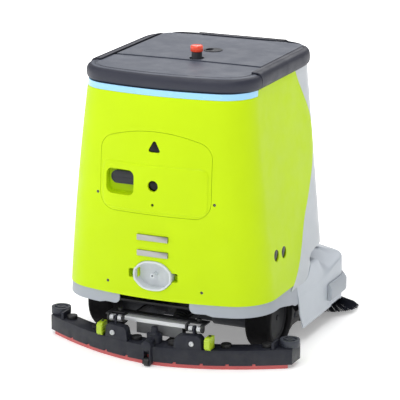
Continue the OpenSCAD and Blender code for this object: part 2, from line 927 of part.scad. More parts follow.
module rear_door() color(lime) {
    difference() {
        union() {
            intersection() {
                difference() {
                    body_form(300, 600, 0);
                    body_form(299, 601, -shell_wall);
                }
                rear_prism(door_outline(0), -400, -230);
            }
            intersection() {
                body_form(300, 600, -1);
                box([pocket[0] - 3, -400, pocket[1] - 3], [pocket[2] + 8, -255, pocket[3] + 3]);
            }
            door_arms();
        }
        box([pocket[0], -400, pocket[1]], [pocket[2], -258, pocket[3]]);
        box([pocket[2] - 1, -276, pocket[1]], [pocket[2] + 5, -258, pocket[3]]);
        bar_y(12.3, -400, -200, 0, 414);
        rear_prism(triangle_outline(0.3), -400, -200);
        translate([paddle_axis[0], paddle_axis[1], 380]) cylinder(r = 2.5 + run_fit, h = 70);
    }
}

// Gooseneck arms that carry the door round the edge of its opening
module door_arms() {
    for (z = [-61.6, 45.4]) door_axis_frame() translate([0, 0, z]) {
        difference() {
            union() {
                linear_extrude(6) difference() {
                    circle(r = door_arm_r + 3);
                    circle(r = door_arm_r - 3);
                    polygon([[0, 0], [-80, 80], [0, 120], [120, 0], [0, -120], [-80, -52]]);
                }
                linear_extrude(6) rotate(134) translate([0, -3]) square([door_arm_r + 1, 6]);
                cylinder(r = 6.5, h = 6);
            }
            translate([0, 0, -1]) cylinder(r = 3 + run_fit, h = 10);
        }
    }
}

module door_latch() color(black) {
    difference() {
        union() {
            translate([0, -266, 0]) rotate([90, 0, 0]) linear_extrude(5) {
                translate([-97, 422]) circle(r = 15);
                translate([-97, 407]) square([45, 30]);
            }
            translate([paddle_axis[0], paddle_axis[1], 407]) cylinder(r = 4.5, h = 30);
            translate([paddle_axis[0], paddle_axis[1], 384]) cylinder(r = 2.5, h = 62);
        }
        box([-93, -272, 421.4], [-60, -270.4, 422.6]);
    }
}

function triangle_outline(grow) = [
    for (corner = [[-9.5, 494, 150, 270], [9.5, 494, 270, 390], [0, 511, 30, 150]])
        for (t = [0:4]) let (a = corner[2] + (corner[3] - corner[2]) * t / 4)
            [corner[0] + (4 + grow) * cos(a), corner[1] + (4 + grow) * sin(a)]
];

module door_windows() color(black) {
    bar_y(12, rear_face(414) + 2, -272, 0, 414);
    rear_prism(triangle_outline(0), rear_face(503) + 1.5, -270);
}

// ---- squeegee lift ----

module lift_frame() color(dark_grey) {
    difference() {
        union() {
            both_sides() box([61, -251.6, 87], [67, lift_axis_y, 100]);
            both_sides() bar_x(12, 61, 67, lift_axis_y, lift_axis_z);
            both_sides() bar_x(3, 77, 119, pitch_axis_y, pitch_axis_z);
            both_sides() for (x = [77, 115]) {
                bar_x(8, x, x + 4, pitch_axis_y, pitch_axis_z);
                box([x, pitch_axis_y - 8, pitch_axis_z], [x + 4, pitch_axis_y + 8, 99]);
            }
            difference() {
                box([-122, -287, 98], [122, -246, 101]);
                both_sides() box([82, -288, 97], [114, -270, 102]);
                box([-79, -288, 97], [79, -264, 102]);
            }
            bar_x(6, -84, 84, lift_axis_y, lift_axis_z);
        }
    }
    both_sides() translate([99, -256, 101 - eps]) cylinder(d = 13, h = 6, $fn = 6);
}

module lift_bar() color(steel) {
    box([-76, -284, 88], [76, -254, 97.8]);
    box([-57, -260, 54], [57, -257, 88 + eps]);
}

module torsion_springs() color([0.86, 0.86, 0.87]) {
    both_sides() for (x = [82, 102]) {
        translate([x, pitch_axis_y, pitch_axis_z]) rotate([0, 90, 0]) rotate_extrude() {
            polygon(concat([[4, 0], [4, 5 * spring_pitch]], spring_profile));
        }
    }
}

spring_pitch = 2.4;

// Outer edge of five close turns of wire, from the last turn back to the first
spring_profile = [
    for (turn = [4:-1:0]) for (a = [60:-30:-60])
        [6.8 + spring_pitch / 2 * cos(a), spring_pitch * (turn + 0.5) + spring_pitch / 2 * sin(a)]
];

// ---- squeegee ----

function sweep_y(x, inset) =
    -squeegee_reach + inset + squeegee_sweep * pow(abs(x) / 300, 1.75);

// Curved band of the squeegee between two distances from its rear face
module sweep_band(half, from, to) {
    steps = 16;
    rear = [for (i = [-steps:steps]) let (x = half * i / steps) [x, sweep_y(x, from)]];
    front = [for (i = [steps:-1:-steps]) let (x = half * i / steps) [x, sweep_y(x, to)]];
    polygon(concat(rear, front));
}

module squeegee_frame() color(navy) {
    difference() {
        union() {
            translate([0, 0, squeegee_low_z]) linear_extrude(squeegee_top_z - squeegee_low_z) {
                sweep_band(squeegee_w / 2, 0, squeegee_depth);
            }
            both_sides() ear();
            translate([0, -284, squeegee_top_z - eps]) cylinder(d = 36, h = 20);
            translate([0, -284, 65]) cylinder(d1 = 30, d2 = 18, h = 5);
            translate([0, -284, 69]) cylinder(d = 16, h = 13);
            wheel_arm();
            both_sides() translate([263, -226, squeegee_top_z - eps]) cube([6, 34, 16]);
        }
        translate([0, 0, squeegee_low_z - 1]) linear_extrude(27) sweep_band(squeegee_w / 2 - 10, 5, squeegee_depth - 5);
        for (x = [-230, -175, -120, -60, 60, 120, 175, 230]) {
            translate([x - 4, sweep_y(x, -10), squeegee_low_z - 1]) cube([8, 16, 5]);
        }
        bar_x(3 + run_fit, -125, 125, pitch_axis_y, pitch_axis_z);
        bar_x(4 + run_fit, -14, 14, wheel_at[0], wheel_at[1]);
        box([-6, -345, 0], [6, -303, 26.5]);
        translate([nozzle_at[0] - 16, -276, 20]) cube([32, 22, 14]);
    }
    both_sides() bar_y(6.2, sweep_y(99, -0.8), sweep_y(99, 12), 99, 60);
    both_sides() translate([291, -183, 36]) cylinder(r = 5 - run_fit, h = 25.5);
    both_sides() translate([135, -277, squeegee_top_z - eps]) cylinder(r = 3, h = 32);
}

squeegee_wheel_r = 10.4;
wheel_at = [-322, squeegee_wheel_r + 0.2];

module ear() {
    intersection() {
        translate([0, 0, squeegee_top_z - 2]) linear_extrude(60) sweep_band(150, 1, 23);
        rear_prism([
            [58.6, 40], [59, 60], [62, 73], [67, 78], [112, 78], [119, 70], [121, 40]
        ], -330, -240);
    }
    box([96, -287, 74], [100, -269, pitch_axis_z]);
    bar_x(8, 96, 100, pitch_axis_y, pitch_axis_z);
}

// Arm with its round boss, reaching over the rear face to the small rear wheel
module wheel_arm() {
    bar_y(12, -331, -308, 0, 50);
    box([-9, -318, 44], [9, -284, 60]);
    for (x = [-10, 6.4]) box([x, -329, 5.5], [x + 3.6, -314, 50]);
}

module squeegee_wheel() color(black) {
    bar_x(squeegee_wheel_r, -5.6, 5.6, wheel_at[0], wheel_at[1]);
    bar_x(4, -10, 10, wheel_at[0], wheel_at[1]);
}

module squeegee_blades() color([0.80, 0.42, 0.42]) {
    for (inset = [5.02, squeegee_depth - 8.52]) {
        difference() {
            linear_extrude(35) sweep_band(squeegee_w / 2 - 10.5, inset, inset + 3.5);
            if (inset > 20) {
                for (x = [-280:20:280]) translate([x - 3, sweep_y(x, inset - 20), -1]) cube([6, 40, 4]);
            }
        }
    }
}

knob_x = [46, 163, 248];

module squeegee_knobs() color(dark_grey) {
    both_sides() for (x = knob_x) translate([x, sweep_y(x, 30), squeegee_top_z + eps]) {
        cylinder(d = 24, h = 8);
    }
}

module end_roller(side) color(navy) {
    translate([side * 291, -183, squeegee_top_z + 0.4]) difference() {
        cylinder(d = end_roller_d, h = 16);
        translate([0, 0, -1]) cylinder(r = 5, h = 20);
        translate([0, 0, 13]) difference() {
            cylinder(r = 16, h = 5);
            translate([0, 0, -1]) cylinder(r = 10, h = 7);
            translate([-20, -2, -1]) cube([40, 4, 7]);
        }
    }
}

module left_end_roller() end_roller(-1);
module right_end_roller() end_roller(1);

module squeegee_latch(side) color([0.69, 0.79, 0.18]) {
    mirror([side > 0 ? 0 : 1, 0, 0]) translate([135, -277, 0]) difference() {
        union() {
            hull() {
                box([-6.5, -20, squeegee_top_z + 6], [6.5, 11, 71]);
                box([-6.5, -14, squeegee_top_z + 0.4], [6.5, 11, 76]);
            }
            for (z = [53, 60, 67]) box([-8, -16, z], [-6.4, 4, z + 3]);
        }
        translate([0, 0, 40]) cylinder(r = 3 + run_fit, h = 50);
    }
}

module left_latch() squeegee_latch(-1);
module right_latch() squeegee_latch(1);

module suction_nozzle() color(navy) {
    x = nozzle_at[0];
    y = nozzle_at[1];
    difference() {
        union() {
            box([x - 18, sweep_y(x + 18, squeegee_depth) + 0.3, 18], [x + 18, y + 20, 44]);
            translate([x, y, 43]) cylinder(d = 38, h = 19);
        }
        box([x - 15, sweep_y(x, squeegee_depth) - 1, 21], [x + 15, y + 17, 40]);
        translate([x, y, 30]) cylinder(d = 32, h = 40);
    }
}

// Route of the suction hose from the nozzle up to the tank's pipe
hose_route = [
    [34, -232, 62.2], [34, -232, 71], [34, -226, 81], [34, -212, 90],
    [34, -193, 98], [34, -177, 107], [34, -172, 119.8]
];

module suction_hose() color(black) {
    sides = 12;
    r = 18;
    n = len(hose_route);
    ring = [for (p = [0:n - 1]) let (
            before = hose_route[max(0, p - 1)],
            after = hose_route[min(n - 1, p + 1)],
            ahead = after - before,
            lean = (p == 0 || p == n - 1) ? 90 : atan2(ahead[2], ahead[1])
        )
        [for (i = [0:sides - 1]) let (a = 360 * i / sides)
            hose_route[p] + [r * cos(a), r * sin(a) * sin(lean), -r * sin(a) * cos(lean)]]];
    points = [for (k = ring) for (p = k) p];
    walls = [for (p = [0:n - 2]) for (i = [0:sides - 1])
        let (j = (i + 1) % sides)
        [p * sides + i, (p + 1) * sides + i, (p + 1) * sides + j, p * sides + j]];
    polyhedron(
        points = points,
        faces = concat(
            walls,
            [[for (i = [0:sides - 1]) i]],
            [[for (i = [sides - 1:-1:0]) (n - 1) * sides + i]]
        )
    );
}

// ---- what is drawn ----

chassis_plate();
rear_shell();
front_shell();
deck();
bumper();
rear_top_cover();
top_rim();
light_strip();
stop_base();
visor();
display();
charge_bars();
water_port();
shell_screws();
sensor_windows();
lidar();
wheel_motors();
brush_housing();
brush_motor();
side_brush_motor();
lift_motor();
battery_pack();
clean_tank();
recovery_tank();
tank_caps();
vacuum_motor();
water_pump();
controller_box();
hinge_pins();
lid();
lid_latch();
stop_button();
rear_door();
door_latch();
door_windows();
left_tyre();
left_hub();
right_tyre();
right_hub();
left_caster_fork();
left_caster_wheel();
right_caster_fork();
right_caster_wheel();
front_brush();
rear_brush();
side_brush_hub();
side_brush_bristles();
lift_frame();
lift_bar();
torsion_springs();
squeegee_frame();
squeegee_blades();
squeegee_knobs();
left_end_roller();
right_end_roller();
left_latch();
right_latch();
squeegee_wheel();
suction_nozzle();
suction_hose();
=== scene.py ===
import math
import random

import bmesh
import bpy
from mathutils import Matrix, Vector


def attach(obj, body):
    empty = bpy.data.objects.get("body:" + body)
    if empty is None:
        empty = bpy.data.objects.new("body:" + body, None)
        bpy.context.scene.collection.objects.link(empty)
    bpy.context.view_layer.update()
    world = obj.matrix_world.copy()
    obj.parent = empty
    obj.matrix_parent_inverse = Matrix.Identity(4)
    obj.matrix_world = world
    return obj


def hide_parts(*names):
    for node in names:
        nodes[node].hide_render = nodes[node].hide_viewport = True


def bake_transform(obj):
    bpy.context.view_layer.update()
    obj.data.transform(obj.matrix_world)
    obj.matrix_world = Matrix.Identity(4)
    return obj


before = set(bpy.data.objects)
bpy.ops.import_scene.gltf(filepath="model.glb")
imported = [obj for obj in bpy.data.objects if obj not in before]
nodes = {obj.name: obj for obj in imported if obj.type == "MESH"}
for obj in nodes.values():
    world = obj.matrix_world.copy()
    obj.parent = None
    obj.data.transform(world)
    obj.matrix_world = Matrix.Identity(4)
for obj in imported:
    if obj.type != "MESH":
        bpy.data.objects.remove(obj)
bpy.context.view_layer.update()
MM = 0.001


# ---------------------------------------------------------------- materials

DUST_TOP = 0.16
DUST_RGB = (170, 166, 158)
ROUGH_DRIFT = 0.08


def linear(rgb):
    """sRGB 0 to 255 as linear colour."""
    out = []
    for c in rgb:
        c /= 255
        out.append(c / 12.92 if c <= 0.04045 else ((c + 0.055) / 1.055) ** 2.4)
    return out


def material(name, rgb, rough=0.4, metallic=0.0, grain=900, grain_depth=0.00006, mottle=0.05,
             wear=0.12, dust=0.0, coat=0.0, stretch=(1, 1, 1), specular=0.5, emission=0.0):
    """A moulded, painted or metal surface with colour drift, fine grain, rubbed edges and floor dust."""
    m = bpy.data.materials.new(name)
    m.use_nodes = True
    nt = m.node_tree
    n, link = nt.nodes, nt.links
    bsdf = n["Principled BSDF"]
    bsdf.inputs["Metallic"].default_value = metallic
    bsdf.inputs["Specular IOR Level"].default_value = specular
    bsdf.inputs["Coat Weight"].default_value = coat
    bsdf.inputs["Coat Roughness"].default_value = 0.18
    coord = n.new("ShaderNodeTexCoord")
    scale = n.new("ShaderNodeMapping")
    scale.inputs["Scale"].default_value = stretch
    link.new(coord.outputs["Object"], scale.inputs["Vector"])

    def noise(size, detail, rough_in=0.5):
        t = n.new("ShaderNodeTexNoise")
        t.inputs["Scale"].default_value = size
        t.inputs["Detail"].default_value = detail
        t.inputs["Roughness"].default_value = rough_in
        link.new(scale.outputs["Vector"], t.inputs["Vector"])
        return t

    def mixed(fac, a, b):
        x = n.new("ShaderNodeMix")
        x.data_type = "RGBA"
        for key, value in ((0, fac), (6, a), (7, b)):
            if isinstance(value, bpy.types.NodeSocket):
                link.new(value, x.inputs[key])
            elif key == 0:
                x.inputs[key].default_value = value
            else:
                x.inputs[key].default_value = (*value, 1)
        return x.outputs[2]

    def ramp(source, low, high, to_low=0.0, to_high=1.0):
        r = n.new("ShaderNodeMapRange")
        r.inputs["From Min"].default_value = low
        r.inputs["From Max"].default_value = high
        r.inputs["To Min"].default_value = to_low
        r.inputs["To Max"].default_value = to_high
        link.new(source, r.inputs["Value"])
        return r.outputs["Result"]

    base = linear(rgb)
    drift = noise(7, 3)
    speck = noise(160, 2)
    dark = [c * (1 - mottle) for c in base]
    light = [min(1, c * (1 + mottle)) for c in base]
    colour = mixed(ramp(drift.outputs["Fac"], 0.35, 0.65), dark, light)
    spotted = [c * (1 - 1.4 * mottle) for c in base]
    colour = mixed(ramp(speck.outputs["Fac"], 0.45, 0.75, 0, 0.25), colour, spotted)
    edge = n.new("ShaderNodeNewGeometry")
    rubbed = ramp(edge.outputs["Pointiness"], 0.53, 0.60, 0, wear)
    worn = [min(1, c * 1.35 + 0.03) for c in base]
    colour = mixed(rubbed, colour, worn)
    if dust:
        split = n.new("ShaderNodeSeparateXYZ")
        link.new(coord.outputs["Object"], split.inputs["Vector"])
        low = ramp(split.outputs["Z"], DUST_TOP, 0.0, 0, dust)
        film = noise(38, 4, 0.7)
        amount = n.new("ShaderNodeMath")
        amount.operation = "MULTIPLY"
        link.new(low, amount.inputs[0])
        link.new(ramp(film.outputs["Fac"], 0.3, 0.7), amount.inputs[1])
        colour = mixed(amount.outputs[0], colour, linear(DUST_RGB))
    link.new(colour, bsdf.inputs["Base Color"])
    smear = noise(23, 4, 0.6)
    low_rough, high_rough = max(0.02, rough - ROUGH_DRIFT), min(1, rough + ROUGH_DRIFT)
    gloss = ramp(smear.outputs["Fac"], 0.3, 0.7, low_rough, high_rough)
    link.new(gloss, bsdf.inputs["Roughness"])
    fine = noise(grain, 3, 0.6)
    bump = n.new("ShaderNodeBump")
    bump.inputs["Strength"].default_value = 0.6
    bump.inputs["Distance"].default_value = grain_depth
    link.new(fine.outputs["Fac"], bump.inputs["Height"])
    link.new(bump.outputs["Normal"], bsdf.inputs["Normal"])
    if emission:
        link.new(colour, bsdf.inputs["Emission Color"])
        bsdf.inputs["Emission Strength"].default_value = emission
    return m


LOOKS = {
    "green": dict(rgb=(192, 224, 0), rough=0.48, grain=700, grain_depth=0.00005, mottle=0.02,
                  specular=0.2, wear=0.1),
    "grey": dict(rgb=(182, 188, 194), rough=0.38, grain=700, grain_depth=0.00005, mottle=0.025,
                 coat=0.12, wear=0.1),
    "pale": dict(rgb=(188, 195, 204), rough=0.42, grain=700, grain_depth=0.00005, mottle=0.02, coat=0.1,
                 wear=0.1, dust=0.05),
    # The band look is the pale plastic made darker: painted shade under the green shell's overhang
    "band": dict(rgb=(162, 168, 177), rough=0.45, grain=700, grain_depth=0.00005, mottle=0.02, wear=0.1,
                 specular=0.3),
    "bumper": dict(rgb=(172, 178, 186), rough=0.55, grain=500, grain_depth=0.0001, mottle=0.03,
                   dust=0.06),
    "cover": dict(rgb=(42, 44, 57), rough=0.5, grain=1100, grain_depth=0.00016, mottle=0.03, wear=0.25,
                  specular=0.4),
    "lid": dict(rgb=(78, 83, 96), rough=0.52, grain=1100, grain_depth=0.00016, mottle=0.03, wear=0.25),
    "light_blue": dict(rgb=(150, 204, 240), rough=0.25, grain=300, grain_depth=0.00003, mottle=0.03,
                       coat=0.4, emission=0.12),
    # Near black for the ledge seen through the lid's gap: painted shade in the gap
    "gap_black": dict(rgb=(10, 10, 12), rough=0.8, grain=800, grain_depth=0.0001, specular=0.1),
    "gloss_black": dict(rgb=(12, 12, 15), rough=0.2, grain=500, grain_depth=0.00002, mottle=0.1,
                        specular=0.22, wear=0.03),
    "dark": dict(rgb=(27, 29, 38), rough=0.5, grain=900, grain_depth=0.00012, mottle=0.08, wear=0.2),
    "contact": dict(rgb=(165, 165, 162), rough=0.32, metallic=1.0, grain=420, grain_depth=0.00008,
                    stretch=(0.05, 1, 1), wear=0.1),
    "port": dict(rgb=(205, 210, 214), rough=0.5, grain=900, grain_depth=0.0001, mottle=0.03),
    "screw": dict(rgb=(118, 120, 124), rough=0.35, metallic=1.0, grain=600, grain_depth=0.00008),
    "screw_dark": dict(rgb=(40, 44, 30), rough=0.4, metallic=0.5, grain=600, grain_depth=0.00008),
    "motor": dict(rgb=(60, 63, 70), rough=0.45, metallic=0.6, grain=400, grain_depth=0.00015, dust=0.08),
    "black": dict(rgb=(19, 20, 24), rough=0.5, grain=700, grain_depth=0.00014, mottle=0.06, wear=0.25,
                  dust=0.07),
    "battery": dict(rgb=(40, 62, 112), rough=0.5, grain=800, grain_depth=0.0001),
    "tank": dict(rgb=(214, 218, 214), rough=0.45, grain=500, grain_depth=0.0001, mottle=0.03),
    "cap": dict(rgb=(52, 84, 140), rough=0.45, grain=800, grain_depth=0.0001),
    "stop_red": dict(rgb=(246, 78, 46), rough=0.28, grain=600, grain_depth=0.00003, mottle=0.04,
                     coat=0.4, wear=0.1),
    "tyre": dict(rgb=(24, 24, 27), rough=0.78, grain=420, grain_depth=0.00035, mottle=0.06, wear=0.15,
                 dust=0.03, specular=0.12),
    "hub": dict(rgb=(36, 37, 41), rough=0.6, grain=700, grain_depth=0.00012, dust=0.04, specular=0.2),
    "roller": dict(rgb=(46, 50, 62), rough=0.5, grain=600, grain_depth=0.00014, mottle=0.05, wear=0.3,
                   dust=0.05),
    "fibre": dict(rgb=(24, 27, 40), rough=0.6, grain=900, grain_depth=0.0003, stretch=(1, 1, 0.1),
                  mottle=0.25, dust=0.02, specular=0.25),
    "lift": dict(rgb=(28, 29, 34), rough=0.5, grain=600, grain_depth=0.00016, mottle=0.06, wear=0.25,
                 dust=0.04),
    "bar": dict(rgb=(205, 207, 211), rough=0.36, metallic=0.55, grain=380, grain_depth=0.0001,
                stretch=(0.05, 1, 1), wear=0.15),
    "chrome": dict(rgb=(222, 224, 228), rough=0.3, metallic=0.6, grain=700, grain_depth=0.00003,
                   wear=0.05),
    "squeegee": dict(rgb=(25, 28, 41), rough=0.48, specular=0.35, grain=650, grain_depth=0.00014,
                     mottle=0.05, wear=0.2, dust=0.05),
    "blade": dict(rgb=(206, 92, 92), rough=0.4, grain=300, grain_depth=0.0001, mottle=0.05, wear=0.15,
                  dust=0.06),
    "latch_green": dict(rgb=(176, 204, 40), rough=0.36, grain=700, grain_depth=0.00006, coat=0.15),
    "hose": dict(rgb=(30, 31, 35), rough=0.6, grain=500, grain_depth=0.0002, mottle=0.06, dust=0.05),
    "steel_grey": dict(rgb=(200, 202, 206), rough=0.35, metallic=0.5, grain=420, grain_depth=0.00012,
                       stretch=(0.1, 1, 1), wear=0.15),
}
LOOKS["door_green"] = LOOKS["green"]
LOOK = {name: material(name, **spec) for name, spec in LOOKS.items()}

NODE_LOOK = {
    "chassis_plate": "lift", "rear_shell": "green", "front_shell": "grey", "deck": "pale", "bumper": "bumper",
    "rear_top_cover": "cover", "top_rim": "cover", "lid": "lid", "light_strip": "light_blue",
    "stop_base": "dark", "visor": "gloss_black", "display": "gloss_black", "charge_bars": "contact",
    "water_port": "port", "shell_screws": "screw", "hinge_pins": "screw", "sensor_windows": "gloss_black",
    "lidar": "gloss_black", "wheel_motors": "motor", "brush_housing": "black", "brush_motor": "motor",
    "side_brush_motor": "motor", "lift_motor": "motor", "battery_pack": "battery", "clean_tank": "tank",
    "recovery_tank": "tank", "tank_caps": "cap", "vacuum_motor": "black", "water_pump": "black",
    "controller_box": "black", "lid_latch": "dark", "stop_button": "stop_red", "rear_door": "door_green",
    "door_latch": "dark", "door_windows": "gloss_black", "left_tyre": "tyre", "right_tyre": "tyre",
    "left_hub": "hub", "right_hub": "hub", "left_caster_fork": "black", "right_caster_fork": "black",
    "left_caster_wheel": "roller", "right_caster_wheel": "roller",
    "front_brush": "fibre", "rear_brush": "fibre",
    "side_brush_hub": "hub", "side_brush_bristles": "fibre", "lift_frame": "lift", "lift_bar": "bar",
    "torsion_springs": "chrome", "squeegee_frame": "squeegee", "squeegee_blades": "blade",
    "squeegee_knobs": "black", "left_end_roller": "roller", "right_end_roller": "roller",
    "left_latch": "latch_green", "right_latch": "latch_green", "squeegee_wheel": "black",
    "suction_nozzle": "black", "suction_hose": "hose",
}
for name, node in nodes.items():
    node.data.materials.clear()
    node.data.materials.append(LOOK[NODE_LOOK[name]])


def smooth(obj, angle=32):
    """Smooth shading that keeps edges sharper than the angle."""
    for p in obj.data.polygons:
        p.use_smooth = True
    mesh = obj.data
    bm = bmesh.new()
    bm.from_mesh(mesh)
    limit = math.radians(angle)
    for e in bm.edges:
        e.smooth = not (len(e.link_faces) == 2 and e.calc_face_angle(0) > limit)
    bm.to_mesh(mesh)
    bm.free()


for node in nodes.values():
    smooth(node)


# ---------------------------------------------------------------- outlines, in millimetres

TOP_HALF = 207
BODY_FRONT = 205
BODY_TOP = 629.6
STRIP_LOW = 616
WALL = 3


def fan(cx, cy, r, start, stop, n):
    """Arc points; angle 0 looks to the rear, 90 to the right and 180 to the front."""
    out = []
    for i in range(n + 1):
        a = math.radians(start + (stop - start) * i / n)
        out.append((cx + r * math.sin(a), cy - r * math.cos(a)))
    return out


def mirrored(half):
    return half + [(-x, y) for x, y in half[-2:0:-1]]


REAR_BOW_R = 750
FRONT_BOW_R = 700


def bowed(half, rear, front, rear_r, front_r):
    """A plan outline with bowed rear and front, straight sides and round corners."""
    rear_deg = math.degrees(math.asin((half - rear_r) / (REAR_BOW_R - rear_r)))
    front_deg = math.degrees(math.asin((half - front_r) / (FRONT_BOW_R - front_r)))
    rear_y = rear + REAR_BOW_R - (REAR_BOW_R - rear_r) * math.cos(math.radians(rear_deg))
    front_y = front - FRONT_BOW_R + (FRONT_BOW_R - front_r) * math.cos(math.radians(front_deg))
    pts = fan(0, rear + REAR_BOW_R, REAR_BOW_R, 0, rear_deg, 12)
    pts += fan(half - rear_r, rear_y, rear_r, rear_deg, 90, 16)[1:]
    side_y = pts[-1][1]
    corner = fan(half - front_r, front_y, front_r, 90, 180 - front_deg, 14)
    pts += [(half, side_y + (corner[0][1] - side_y) * k / 20) for k in range(1, 20)]
    pts += corner
    pts += fan(0, front - FRONT_BOW_R, FRONT_BOW_R, 180 - front_deg, 180, 10)[1:]
    return mirrored(pts)


def half_width(z):
    """Half the body's width, which flares 1 in 10 downwards."""
    return TOP_HALF + 0.1 * (STRIP_LOW - z)


def rear_face(z):
    """Y of the rear surface at the middle, upright below and leaning forward above."""
    return -293 + 25 * (max(0, z - 220) / 400) ** 2


def rear_at(x, z):
    """Y of the bowed rear surface."""
    return rear_face(z) + REAR_BOW_R - math.sqrt(REAR_BOW_R ** 2 - x ** 2)


def body_outline(z, grow=0.0):
    rear_r = 80 + (630 - z) / 24
    return bowed(half_width(z) + grow, rear_face(z) - grow, BODY_FRONT + grow, rear_r + grow, 90 + grow)


def cover_outline(grow):
    return bowed(TOP_HALF + grow, -261 - grow, BODY_FRONT + grow, 82 + grow, 92 + grow)


def curve(points, steps=8):
    """A smooth curve through the points."""
    out = []
    for i in range(len(points) - 1):
        a, b = Vector(points[i]), Vector(points[i + 1])
        p = Vector(points[i - 1]) if i else a * 2 - b
        q = Vector(points[i + 2]) if i + 2 < len(points) else b * 2 - a
        for k in range(steps):
            t = k / steps
            out.append(tuple(0.5 * (2 * a + (b - p) * t + (2 * p - 5 * a + 4 * b - q) * t * t
                                    + (3 * a - p - 3 * b + q) * t ** 3)))
    return out + [tuple(points[-1])]


def spline(points, steps=5):
    """A smooth curve that rounds off its control points and keeps its ends."""
    pts = [Vector(p) for p in points]
    pts = [pts[0] * 2 - pts[1]] + pts + [pts[-1] * 2 - pts[-2]]
    out = []
    for i in range(1, len(pts) - 1):
        a, b, c = (pts[i - 1] + pts[i]) / 2, pts[i], (pts[i] + pts[i + 1]) / 2
        for k in range(steps):
            t = k / steps
            out.append(a * (1 - t) ** 2 + b * 2 * t * (1 - t) + c * t * t)
    out.append((pts[-2] + pts[-1]) / 2)
    out[0], out[-1] = pts[1], pts[-2]
    return [tuple(p) for p in out]


# ---------------------------------------------------------------- mesh tools

def mesh_object(name, verts, faces, look=None):
    me = bpy.data.meshes.new(name)
    me.from_pydata([(x * MM, y * MM, z * MM) for x, y, z in verts], [], faces)
    bm = bmesh.new()
    bm.from_mesh(me)
    bmesh.ops.remove_doubles(bm, verts=bm.verts, dist=1e-6)
    bmesh.ops.recalc_face_normals(bm, faces=bm.faces)
    bm.to_mesh(me)
    bm.free()
    obj = bpy.data.objects.new(name, me)
    bpy.context.scene.collection.objects.link(obj)
    if look:
        me.materials.append(LOOK[look])
    return obj


def rings_mesh(rings, caps=True):
    """Quads between rings of the same number of points, with flat end caps or none."""
    verts = [p for r in rings for p in r]
    n = len(rings[0])
    faces = []
    for i in range(len(rings) - 1):
        for k in range(n):
            j = (k + 1) % n
            faces.append((i * n + k, i * n + j, (i + 1) * n + j, (i + 1) * n + k))
    if caps:
        faces.append(tuple(range(n)))
        faces.append(tuple((len(rings) - 1) * n + k for k in range(n)))
    return verts, faces


def loft(name, rings, look=None):
    return mesh_object(name, *rings_mesh(rings), look)


def wall(name, outer, inner, look=None):
    """A closed wall between an outer and an inner set of rings."""
    return mesh_object(name, *rings_mesh(outer + inner[::-1] + [outer[0]], caps=False), look)


def prism(axis, pts, low, high):
    """A plain cutter: an outline extruded along one axis."""
    order = {"x": lambda p, t: (t, p[0], p[1]), "y": lambda p, t: (p[0], t, p[1]),
             "z": lambda p, t: (p[0], p[1], t)}[axis]
    return loft("cutter", [[order(p, low) for p in pts], [order(p, high) for p in pts]])


def circle(at, r, n):
    turns = [math.tau * k / n for k in range(n)]
    return [(at[0] + r * math.cos(a), at[1] + r * math.sin(a)) for a in turns]


def across(pts):
    """A cutter through the whole machine from side to side; the outline holds y and z."""
    return prism("x", pts, -400, 400)


def from_rear(pts, depth=200):
    """A cutter through the rear wall; the outline holds x and z."""
    return prism("y", pts, -400, depth - 400)


def from_top(pts):
    """A cutter through the top cover; the outline holds x and y."""
    return prism("z", pts, 600, 700)


def block(low, high):
    (x0, y0, z0), (x1, y1, z1) = low, high
    return prism("z", [(x0, y0), (x1, y0), (x1, y1), (x0, y1)], z0, z1)


def settle(obj):
    """Applies an object's modifiers to its mesh."""
    graph = bpy.context.evaluated_depsgraph_get()
    me = bpy.data.meshes.new_from_object(obj.evaluated_get(graph))
    obj.modifiers.clear()
    obj.data = me
    return obj


def cut(obj, *tools, op="DIFFERENCE"):
    """Takes the tools out of the object, or keeps what is inside them with op INTERSECT."""
    for tool in tools:
        b = obj.modifiers.new("cut", "BOOLEAN")
        b.operation = op
        b.solver = "MANIFOLD"
        b.object = tool
        settle(obj)
        bpy.data.objects.remove(tool)
    return obj


def rounded(obj, width, segments=3, angle=35):
    """Rounds the edges that are sharper than the angle."""
    b = obj.modifiers.new("edges", "BEVEL")
    b.width = width * MM
    b.segments = segments
    b.limit_method = "ANGLE"
    b.angle_limit = math.radians(angle)
    b.use_clamp_overlap = True
    b.harden_normals = True
    for p in obj.data.polygons:
        p.use_smooth = True
    return obj


def place(obj, body, replaces=()):
    """Fixes a piece to a body, with the CAD nodes it stands for."""
    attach(obj, body)
    if replaces:
        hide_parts(*replaces)
    return obj


def levels(low, high, n):
    return [low + (high - low) * i / n for i in range(n + 1)]


def ring(outline, z):
    return [(x, y, z) for x, y in outline]


# ---------------------------------------------------------------- body shells

# Joint between rear and front shell, seen from the side, from the foot to the top
SEAM = curve([(-85, 140), (-78, 145), (-54, 160), (-26, 188), (-4, 223), (27, 284), (60, 328), (92, 378),
              (114, 420), (127, 447), (129, 474), (120, 502), (103, 535), (81, 570), (60, 602), (40, 640)])
FOOT = [(-60, 141.5), (-44, 141), (-8, 139.5), (14, 145)]
FOOT += curve([(24, 152), (38, 170), (56, 197), (205, 212)], 5)
GAP = 0.35


def body_wall(name, zs, inset, look):
    """A wall of the shells' thickness, inset from the body's outline."""
    outer = [ring(body_outline(z, -inset), z) for z in zs]
    return wall(name, outer, [ring(body_outline(z, -inset - WALL), z) for z in zs], look)


def side_name(side):
    return "right" if side > 0 else "left"


def shell(name, low, high, look, rows):
    """A wall that follows the body's outline between two heights."""
    zs = levels(low, high, rows)
    return body_wall(name, zs, 0, look)


def turned(cx, cz, r, degrees):
    """The point at a radius and an angle from a centre."""
    a = math.radians(degrees)
    return (cx + r * math.cos(a), cz + r * math.sin(a))


def rect(x0, x1, z0, z1, r, n=6):
    """A rectangle with round corners."""
    out = []
    corners = ((x1 - r, z0 + r, -90), (x1 - r, z1 - r, 0), (x0 + r, z1 - r, 90), (x0 + r, z0 + r, 180))
    for cx, cz, a in corners:
        out += [turned(cx, cz, r, a + 90 * k / n) for k in range(n + 1)]
    return out


